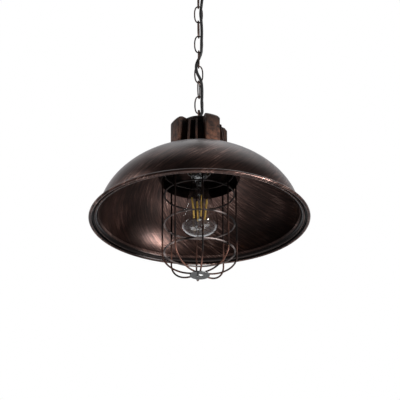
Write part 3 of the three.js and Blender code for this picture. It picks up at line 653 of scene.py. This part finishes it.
class PENDANT_OT_cage(PendantPiece, bpy.types.Operator):
    """Bend the cage's rings and wires, weld them, and add the hub with its tab"""
    bl_idname = "pendant.cage"
    bl_label = "Bulb cage"

    def execute(self, context):
        wire = sizes().wire
        tones = colours()
        silver, copper = (0.42, 0.34, 0.32), (0.20, 0.09, 0.065)
        hub_low = low("cage_hub").z
        # the rings and wires keep their worn colour only low down: painted shade for the cage under the dome
        ring_metal = worn_wire("rubbed ring wire with painted shade", tones.ground, silver, 1.0, 34, hub_low + 25 * MM)
        wire_metal = worn_wire("cage wire bronze with painted shade", tones.ground, copper, 1.0, 26, hub_low)
        t = np.linspace(0, TAU, 144, endpoint=False)
        ring_r = high("cage_ring_top").x - wire / 2
        levels = {}
        for name in ("top", "upper", "middle", "lower"):
            node = f"cage_ring_{name}"
            levels[name] = (low(node).z + high(node).z) / 2
            path = np.stack([ring_r * np.cos(t), ring_r * np.sin(t), np.full_like(t, levels[name])], -1)
            piece(f"ring_{name}", swept(path, wire, 14, closed=True), ring_metal, "cage", [node])
        out = ring_r + wire + CLEARANCE
        hub_r, hub_thick = high("cage_hub").x, 2 * MM
        hub_z = (hub_low + high("cage_hub").z) / 2
        under = hub_z + hub_thick / 2 + wire / 2 + CLEARANCE
        wire_top, bend = RIM_Z + 86 * MM, RIM_Z - 62 * MM
        first_wire = -85
        quarter = np.linspace(0, math.pi / 2, 40)
        straight = np.linspace(wire_top, bend, 20)[:-1]
        r = np.concatenate([np.full(19, out), hub_r + (out - hub_r) * np.cos(quarter), [13 * MM, 9.8 * MM]])
        z = np.concatenate([straight, bend + (under - bend) * np.sin(quarter), [under, under]])
        # a weld bead: an ellipsoid, where each ring lies against each wire
        mid = (ring_r + out) / 2
        ball, ball_faces = turned([(0, -1), *[(math.cos(u), math.sin(u)) for u in np.linspace(-1.2, 1.2, 7)],
                                   (0, 1)], 12)
        shaped = ball * np.array([1.25, 1.0, 1.15]) * MM
        x, y = shaped[:, 0] + mid, shaped[:, 1]
        beads = []
        for i in range(8):
            a = math.radians(first_wire + 45 * i)
            path = np.stack([r * math.cos(a), r * math.sin(a), z], -1)
            piece(f"cage_rod_{i + 1}", swept(path, wire, 14), wire_metal, "cage",
                  [f"cage_wire_{i + 1}"])
            for level in levels.values():
                moved = np.stack([x * math.cos(a) - y * math.sin(a), x * math.sin(a) + y * math.cos(a),
                                  shaped[:, 2] + level], -1)
                beads.append((moved, ball_faces))
        piece("cage_welds", joined(beads), wire_metal, "cage")
        zinc = plain_metal("dull zinc", tones.zinc, 0.42, 300)
        outline = fillet([(5.5 * MM, hub_z - 1 * MM), (hub_r, hub_z - 1 * MM), (hub_r, hub_z + 1 * MM),
                          (5.5 * MM, hub_z + 1 * MM)], 0.6 * MM, 4)
        piece("hub_washer", lathed(outline, 72), zinc, "cage", ["cage_hub"])
        lo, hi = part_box("cage_hub_tab")
        tab = fillet([(0, hi.z), (3.6 * MM, hi.z), (3 * MM, hi.z - 5.5 * MM), (0.9 * MM, lo.z),
                      (0, hi.z - 5 * MM)], 0.8 * MM, 4)
        made = piece("hub_tab", prism(tab, 1.5 * MM, 0, (lo.x, (lo.y + hi.y) / 2)), zinc, "cage",
                     ["cage_hub_tab"])
        bevelled(facing_out(made), 0.3 * MM, 2)
        return {"FINISHED"}


# how far each link is turned about +Z, in degrees
LINK_TURNS = (97, 4, 82, -3, 95, 6, 76, -4)


class PENDANT_OT_chain(PendantPiece, bpy.types.Operator):
    """Bend the chain's links from wire, and turn them as they hang"""
    bl_idname = "pendant.chain"
    bl_label = "Chain"

    def execute(self, context):
        wire = sizes().chain_wire
        tones = colours()
        metal = worn_wire("chain bronze", tones.ground, (0.30, 0.20, 0.17), 0.6, 110)
        t = np.linspace(0, TAU, 96, endpoint=False)
        power, link_width = 2.4, 15.5 * MM

        def squared(v):
            """A cosine or sine raised so that the path is a superellipse of that power."""
            return np.sign(v) * np.abs(v) ** (2 / power)

        for i, turn in enumerate(LINK_TURNS):
            node = f"chain_link_{i + 1}"
            lo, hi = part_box(node)
            half_tall = (hi.z - lo.z - wire) / 2
            half_wide = (link_width - wire) / 2
            out = half_wide * squared(np.cos(t))
            a = math.radians(turn)
            path = np.stack([out * math.cos(a), out * math.sin(a),
                             (lo.z + hi.z) / 2 + half_tall * squared(np.sin(t))], -1)
            link = swept(path, wire, 14, closed=True)
            piece(f"link_wire_{i + 1}", link, metal, f"link_{i + 1}", [node])
        return {"FINISHED"}


# the points that the cord runs through, in millimetres
CORD_ROUTE = (
    (13, -12, -13.1), (13, -8.6, -20), (13, -8, -26), (13, -8, -30), (12.3, -7.8, -38),
    (9.8, -6.8, -50), (6.6, -5.6, -63), (4.9, -5.2, -77), (3.6, -5.2, -91), (4.6, -5, -105),
    (5.3, -4.4, -119), (5.4, -4.5, -132), (4.9, -5, -147), (4.7, -4.8, -158), (4.6, -4, -164),
    (3.4, -2.5, -169.5), (1, -1.4, -176), (-1.6, -1.7, -182), (-3.3, -3.2, -187.5), (-4.2, -4.8, -194),
    (-4, -5.3, -201), (-2.2, -5.5, -208.5), (1.2, -5.5, -216), (4.1, -5.3, -224.5), (5.2, -4.7, -236),
    (5.2, -4.8, -250), (4.7, -5.2, -264), (5.2, -6, -276), (5.3, -9.2, -283.5), (3.3, -11.9, -290.5),
    (2, -12.6, -297), (2, -12.6, -310), (2, -12.6, -330), (2, -12.6, -345))


class PENDANT_OT_cord(PendantPiece, bpy.types.Operator):
    """Run the mains cord along its route, in one stretch across each joint of the chain"""
    bl_idname = "pendant.cord"
    bl_label = "Mains cord"

    def execute(self, context):
        flex = moulded("black flex", colours().flex, 0.62, 900, 0.00018)
        path = curve_through(np.array(CORD_ROUTE) * MM, 8)
        bodies = ["ceiling_mount", *[f"link_{i + 1}" for i in range(8)], "fixture"]
        middles = [(low(f"chain_link_{i + 1}").z + high(f"chain_link_{i + 1}").z) / 2 for i in range(8)]
        # a little thinner than the frame's cord; reach is this far above and below each joint, but nothing
        # bends the cord over it
        thickness, reach = sizes().cord * 0.98, 11 * MM
        # stretch k crosses the joint between bodies k and k + 1, and runs from middle to middle
        ends = [path[0][2] + 1, *middles, path[-1][2] - 1]
        for k in range(len(bodies) - 1):
            upper, lower = ends[k], ends[k + 1]
            inside = np.where((path[:, 2] <= upper) & (path[:, 2] >= lower))[0]
            first, last = max(inside[0] - 1, 0), min(inside[-1] + 2, len(path))
            stretch = path[first:last]
            joint = next(j for j in frame["joints"] if j["child"] == bodies[k + 1])
            z = joint["pos_m"][2]
            made = piece(f"cord_{k + 1}", swept(stretch, thickness, 16), flex, None,
                         ["mains_cord"])
            z + reach
            z - reach
            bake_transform(made)
        return {"FINISHED"}


def ring_on_neck(wire, radius, centre_z, neck, turn):
    """A closed ring of round wire standing on a turned neck."""
    t = np.linspace(0, TAU, 72, endpoint=False)
    out = radius * np.cos(t)
    path = np.stack([out * math.cos(turn), out * math.sin(turn), centre_z + radius * np.sin(t)], -1)
    return joined([swept(path, wire, 18, closed=True), turned(neck, 48)])


class PENDANT_OT_hangers(PendantPiece, bpy.types.Operator):
    """Make the loop under the rose, the eye on the cap and their cord bushes, and give the cap's stud and
    the nuts their steel
    """
    bl_idname = "pendant.hangers"
    bl_label = "Loop, eye and bushes"

    def execute(self, context):
        tones = colours()
        bronze = worn_wire("eye bronze", tones.ground, (0.26, 0.15, 0.115), 0.9, 160)
        steel = plain_metal("plated steel", (0.42, 0.41, 0.39), 0.35)
        rubber = moulded("bush rubber", (0.014, 0.013, 0.013), 0.6)
        lo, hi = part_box("rose_loop")
        ring_z = lo.z + 11 * MM
        under = low("ceiling_rose").z - CLEARANCE
        foot = under - 5 * MM
        neck = [(0, foot), (3.4 * MM, foot), (4.2 * MM, foot + 1.6 * MM), (6.5 * MM, foot + 2.2 * MM),
                (8 * MM, under - 1.4 * MM), (8 * MM, under), (4 * MM, under), (4 * MM, hi.z), (0, hi.z)]
        piece("rose_eye", ring_on_neck(4 * MM, 9 * MM, ring_z, neck, 0), bronze, "ceiling_mount",
              ["rose_loop"])
        lo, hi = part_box("hanging_eye")
        eye_wire, eye_r = 4.4 * MM, 7.4 * MM
        ring_z = hi.z - (eye_r + eye_wire / 2)
        top = lo.z + 6.2 * MM
        neck = [(0, lo.z), (5.6 * MM, lo.z), (5.6 * MM, lo.z + 1.8 * MM), (4.4 * MM, lo.z + 3.4 * MM),
                (3.2 * MM, top), (0, top)]
        piece("cap_eye", ring_on_neck(eye_wire, eye_r, ring_z, neck, math.pi / 2), bronze, "fixture",
              ["hanging_eye"])
        for node, body, down in (("rose_cord_bush", "ceiling_mount", True),
                                 ("cap_cord_bush", "fixture", False)):
            lo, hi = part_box(node)
            centre = ((lo.x + hi.x) / 2, (lo.y + hi.y) / 2)
            bore, flange, stem = 2.95 * MM, 4.85 * MM, 3.9 * MM
            lip = lo.z + 2 * MM if down else hi.z - 2 * MM
            outline = [(bore, lo.z), (flange - 0.8 * MM, lo.z), (flange, lip), (stem, lip), (stem, hi.z),
                       (bore, hi.z)]
            if not down:
                outline = [(bore, hi.z), (flange - 0.8 * MM, hi.z), (flange, lip), (stem, lip), (stem, lo.z),
                           (bore, lo.z)]
            piece(f"{node}_moulded", lathed(fillet(outline, 0.5 * MM, 3), 40, centre), rubber, body,
                  [node])
        dress(steel, "steel_fixings", "hanging_stud", "hanging_nut", "rose_loop_nut")
        return {"FINISHED"}


class PENDANT_OT_rose(PendantPiece, bpy.types.Operator):
    """Spin the ceiling rose, and finish its bar, terminal block, screws and cap nuts"""
    bl_idname = "pendant.rose"
    bl_label = "Ceiling rose"

    def execute(self, context):
        tones = colours()
        bottom, radius = low("ceiling_rose").z, high("ceiling_rose").x
        face, wall = bottom + 4 * MM, 1.2 * MM
        t = np.linspace(0, math.pi / 2, 14)
        shoulder = 16 * MM
        drop = -4 * MM - face

        def shell(inset):
            r = radius - shoulder * (1 - np.sin(t)) - inset * np.sin(t)
            z = face + drop * (1 - np.cos(t)) + inset * np.cos(t)
            return np.stack([r, z], -1)

        bore, boss = 4.3 * MM, 24 * MM
        outline = [(bore, bottom), (boss - 3 * MM, bottom), (boss, face), *shell(0), (radius, 0),
                   (radius - wall, 0), *shell(wall)[::-1], (boss - wall / 2, face + wall),
                   (boss - 3 * MM - wall / 2, bottom + wall), (bore, bottom + wall)]
        bronze = brushed_bronze("brushed rose bronze", 20.0, 0.7, 0.36)
        outline = fillet(outline, 0.6 * MM, 3)
        made = piece("rose_spun", lathed(outline, 144), bronze, "ceiling_mount",
                     ["ceiling_rose"], 50)
        along_outline(made, np.ones(len(outline)))
        nut = worn_wire("cap nut bronze", tones.ground, tones.rub, 0.8, 200)
        for side in ("left", "right"):
            lo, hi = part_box(f"rose_cap_nut_{side}")
            centre = ((lo.x + hi.x) / 2, 0)
            dome = [(4.6 * MM * math.sin(u), lo.z + 4 * MM * (1 - math.cos(u)))
                    for u in np.linspace(0, 1.57, 9)]
            outline = [*dome, (4.6 * MM, hi.z - 1.2 * MM), (5.6 * MM, hi.z), (2.3 * MM, hi.z),
                       (2.3 * MM, hi.z - 4 * MM), (0, hi.z - 4 * MM)]
            piece(f"cap_nut_{side}", turned(outline, 40, centre), nut, "ceiling_mount",
                  [f"rose_cap_nut_{side}"])
        zinc = plain_metal("zinc plated bar", (0.46, 0.46, 0.47), 0.4)
        dress(zinc, "bar_zinc", "mounting_bar")
        dress(zinc, "steel_fixings", "rose_screw_left", "rose_screw_right")
        dress(moulded("terminal plastic", (0.72, 0.70, 0.64), 0.5), "white_plastic", "terminal_block")
        return {"FINISHED"}


class PENDANT_OT_holder(PendantPiece, bpy.types.Operator):
    """Turn the lampholder's skirt and liner, and give its cap, insulator and contact and the cap's four
    screws their materials
    """
    bl_idname = "pendant.holder"
    bl_label = "Lampholder"

    def execute(self, context):
        steel = plain_metal("holder steel", (0.26, 0.25, 0.24), 0.38)
        brass = plain_metal("brass", (0.62, 0.42, 0.18), 0.32)
        ceramic = moulded("porcelain", (0.74, 0.72, 0.67), 0.25)
        lo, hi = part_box("lampholder_skirt")
        r, wall = hi.x, 1.6 * MM
        outline = fillet([(r - wall, lo.z), (r, lo.z), (r, hi.z), (r - wall, hi.z)], 0.5 * MM, 4)
        piece("holder_skirt", lathed(outline, 80), steel, "fixture", ["lampholder_skirt"])
        lo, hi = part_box("lampholder_liner")
        r, wall = hi.x, 0.8 * MM
        outline = fillet([(r - wall, lo.z), (r, lo.z), (r, hi.z), (r - wall, hi.z)], 0.25 * MM, 3)
        piece("holder_liner", lathed(outline, 72), brass, "fixture", ["lampholder_liner"])
        dress(steel, "holder_steel", "lampholder_cap")
        dress(ceramic, "white_ceramic", "lampholder_insulator")
        dress(brass, "brass", "lampholder_contact")
        dress(plain_metal("screw steel", (0.40, 0.39, 0.37), 0.36), "steel_fixings",
              *[f"cap_screw_{i + 1}" for i in range(4)])
        return {"FINISHED"}


class PENDANT_OT_lamp(PendantPiece, bpy.types.Operator):
    """Blow the lamp's glass, cut its thread, and set the stem, post and filaments inside it"""
    bl_idname = "pendant.lamp"
    bl_label = "Filament lamp"

    def glass(self, inset):
        """From the round end up the long taper: a quarter of an ellipse below the widest place, and above
        it half a cosine wave from the widest radius in to the neck."""
        bottom, top = low("lamp_glass").z, high("lamp_glass").z
        widest = bottom + 18.5 * MM
        wide, neck = high("lamp_glass").x - inset, 11.7 * MM - inset
        t = np.linspace(0, math.pi / 2, 26)
        r = wide * np.sin(t)
        z = widest - (18.5 * MM - inset) * np.cos(t)
        u = np.linspace(0, 1, 44)[1:]
        r2 = neck + (wide - neck) * (0.5 + 0.5 * np.cos(math.pi * u ** 0.92))
        z2 = widest + (top - widest) * u
        return np.stack([np.concatenate([r, r2]), np.concatenate([z, z2])], -1)

    def execute(self, context):
        tones = colours()
        outer, inner = self.glass(0), self.glass(0.8 * MM)
        outline = np.concatenate([outer, inner[::-1]])
        made = piece("lamp_bulb", turned(outline, 96), clear_glass("clear glass"), "lamp",
                     ["lamp_glass"], 60)
        facing_out(made)
        steel = plain_metal("nickelled brass", (0.58, 0.58, 0.58), 0.26, 300)
        # the thread: the radius falls and rises once for each turn, and its phase follows the angle
        lo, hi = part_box("lamp_screw_shell")
        r, pitch, depth = hi.x, 3.6 * MM, 0.9 * MM
        t = np.linspace(0, TAU, 96, endpoint=False)[:, None]
        z = np.linspace(lo.z, hi.z, 90)[None, :]
        rise = (z - lo.z - 4 * MM) / pitch
        fade = np.clip(rise * 2, 0, 1) * np.clip((hi.z - z) / (1.5 * MM), 0, 1)
        outside = r - depth * fade * (0.5 - 0.5 * np.cos(TAU * rise - t))
        inside = np.full((96, 2), r - 1.0 * MM)
        radii = np.concatenate([outside, inside], 1)
        heights = np.concatenate([np.broadcast_to(z, outside.shape), np.tile([hi.z, lo.z], (96, 1))], 1)
        points = np.stack([radii * np.cos(t), radii * np.sin(t), heights], -1).reshape(-1, 3)
        made = piece("lamp_thread", (points, quads(96, radii.shape[1], True, True)), steel, "lamp",
                     ["lamp_screw_shell"])
        facing_out(made)
        dress(moulded("black vitrite", (0.010, 0.010, 0.010), 0.2), "black_glass", "lamp_insulator")
        dress(steel, "bright_metal", "lamp_contact", "lamp_post")
        dress(clear_glass("stem glass"), "lamp_glass", "lamp_stem")
        strip = moulded("yellow phosphor", tones.phosphor, 0.5, 1200, 0.00006)
        first_filament = -72
        for i in range(4):
            lo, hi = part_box(f"lamp_filament_{i + 1}")
            a = math.radians(first_filament + 90 * i)
            ends = [(9 * MM, lo.z), (12.5 * MM, hi.z)]
            path = np.array([(q * math.cos(a), q * math.sin(a), z) for q, z in ends])
            path = path[0] + (path[1] - path[0]) * np.linspace(0.02, 0.98, 12)[:, None]
            piece(f"filament_{i + 1}", swept(path, 2.9 * MM, 14), strip, "lamp",
                  [f"lamp_filament_{i + 1}"])
        return {"FINISHED"}


class PENDANT_OT_stage(PendantPiece, bpy.types.Operator):
    """Set the pale floor, the studio lights and the camera"""
    bl_idname = "pendant.stage"
    bl_label = "Stage"

    def light(self, name, place, size, power):
        data = bpy.data.lights.new(name, "AREA")
        data.shape = "RECTANGLE"
        data.size, data.size_y = size
        data.energy = power
        obj = bpy.data.objects.new(name, data)
        bpy.context.scene.collection.objects.link(obj)
        target = Vector((0, 0, RIM_Z + 0.03))
        obj.location = place
        obj.rotation_euler = (target - Vector(place)).to_track_quat("-Z", "Y").to_euler()
        obj.visible_camera = False

    def execute(self, context):
        scene = context.scene
        world = bpy.data.worlds.new("studio")
        scene.world = world
        world.use_nodes = True
        tree = world.node_tree
        # the room is white to look at; as light it is a white backdrop behind and a dim room in front
        plain = tree.nodes["Background"]
        plain.inputs[0].default_value = (1, 1, 1, 1)
        dim = tree.nodes.new("ShaderNodeBackground")
        dim.inputs[0].default_value = (0.96, 0.97, 1.0, 1)
        where = tree.nodes.new("ShaderNodeTexCoord")
        parts, ramp = tree.nodes.new("ShaderNodeSeparateXYZ"), tree.nodes.new("ShaderNodeMapRange")
        tree.links.new(where.outputs["Generated"], parts.inputs[0])
        tree.links.new(parts.outputs["Y"], ramp.inputs["Value"])
        for key, value in (("From Min", -0.1), ("From Max", 0.75), ("To Min", 0.05), ("To Max", 0.8)):
            ramp.inputs[key].default_value = value
        tree.links.new(ramp.outputs[0], dim.inputs[1])
        seen, choose = tree.nodes.new("ShaderNodeLightPath"), tree.nodes.new("ShaderNodeMixShader")
        tree.links.new(seen.outputs["Is Camera Ray"], choose.inputs[0])
        tree.links.new(dim.outputs[0], choose.inputs[1])
        tree.links.new(plain.outputs[0], choose.inputs[2])
        tree.links.new(choose.outputs[0], tree.nodes["World Output"].inputs[0])
        scene.view_settings.view_transform = "Standard"
        span = 6.0
        corners = [(-span, -span, FLOOR_Z), (span, -span, FLOOR_Z), (span, span, FLOOR_Z),
                   (-span, span, FLOOR_Z)]
        mesh = bpy.data.meshes.new("floor")
        mesh.from_pydata(corners, [], [[0, 1, 2, 3]])
        floor = bpy.data.objects.new("floor", mesh)
        scene.collection.objects.link(floor)
        mesh.materials.append(moulded("pale floor", (0.86, 0.86, 0.86), 0.8, 4, 0.0))
        self.light("key", (1.25, -0.9, RIM_Z - 0.28), (0.5, 0.5), 46)
        self.light("left fill", (-1.6, -0.3, RIM_Z + 0.5), (0.8, 1.4), 12)
        self.light("top", (0.2, 0.3, 1.4), (1.8, 1.8), 8)
        self.light("below", (0.1, 0.2, RIM_Z - 0.95), (1.5, 0.5), 5.5)
        camera = bpy.data.cameras.new("camera")
        view = bpy.data.objects.new("camera", camera)
        scene.collection.objects.link(view)
        camera.sensor_width = 36
        camera.lens = 167.2
        distance, elevation, roll = 3.0, math.radians(25.8), math.radians(-0.3)
        aim = Vector((1.0 * MM, 0, RIM_Z + 35.2 * MM))
        ahead = Vector((0, math.cos(elevation), math.sin(elevation)))
        view.location = aim - ahead * distance
        turn = ahead.to_track_quat("-Z", "Y")
        view.rotation_euler = (turn @ Euler((0, 0, roll)).to_quaternion()).to_euler()
        scene.camera = view
        return {"FINISHED"}


STEPS = (
    PENDANT_OT_stage, PENDANT_OT_cord, PENDANT_OT_shade, PENDANT_OT_gallery, PENDANT_OT_cap,
    PENDANT_OT_cage, PENDANT_OT_chain, PENDANT_OT_hangers, PENDANT_OT_rose, PENDANT_OT_holder,
    PENDANT_OT_lamp)


class PENDANT_PT_panel(bpy.types.Panel):
    """The light's pieces, in the order they are made"""
    bl_idname = "PENDANT_PT_panel"
    bl_label = "Pendant dome light"
    bl_space_type = "VIEW_3D"
    bl_region_type = "UI"
    bl_category = "Pendant"

    def draw(self, context):
        for group in (context.scene.pendant_sizes, context.scene.pendant_colours):
            for key in group.__annotations__:
                self.layout.prop(group, key)
        for step in STEPS:
            self.layout.operator(step.bl_idname)


CLASSES = (PendantSizes, PendantColours, *STEPS, PENDANT_PT_panel)


def register():
    for cls in CLASSES:
        bpy.utils.register_class(cls)
    bpy.types.Scene.pendant_sizes = bpy.props.PointerProperty(type=PendantSizes)
    bpy.types.Scene.pendant_colours = bpy.props.PointerProperty(type=PendantColours)


def unregister():
    del bpy.types.Scene.pendant_colours
    del bpy.types.Scene.pendant_sizes
    for cls in reversed(CLASSES):
        bpy.utils.unregister_class(cls)


def main():
    register()
    for step in STEPS:
        group, name = step.bl_idname.split(".")
        getattr(getattr(bpy.ops, group), name)()


if __name__ == "__main__":
    main()
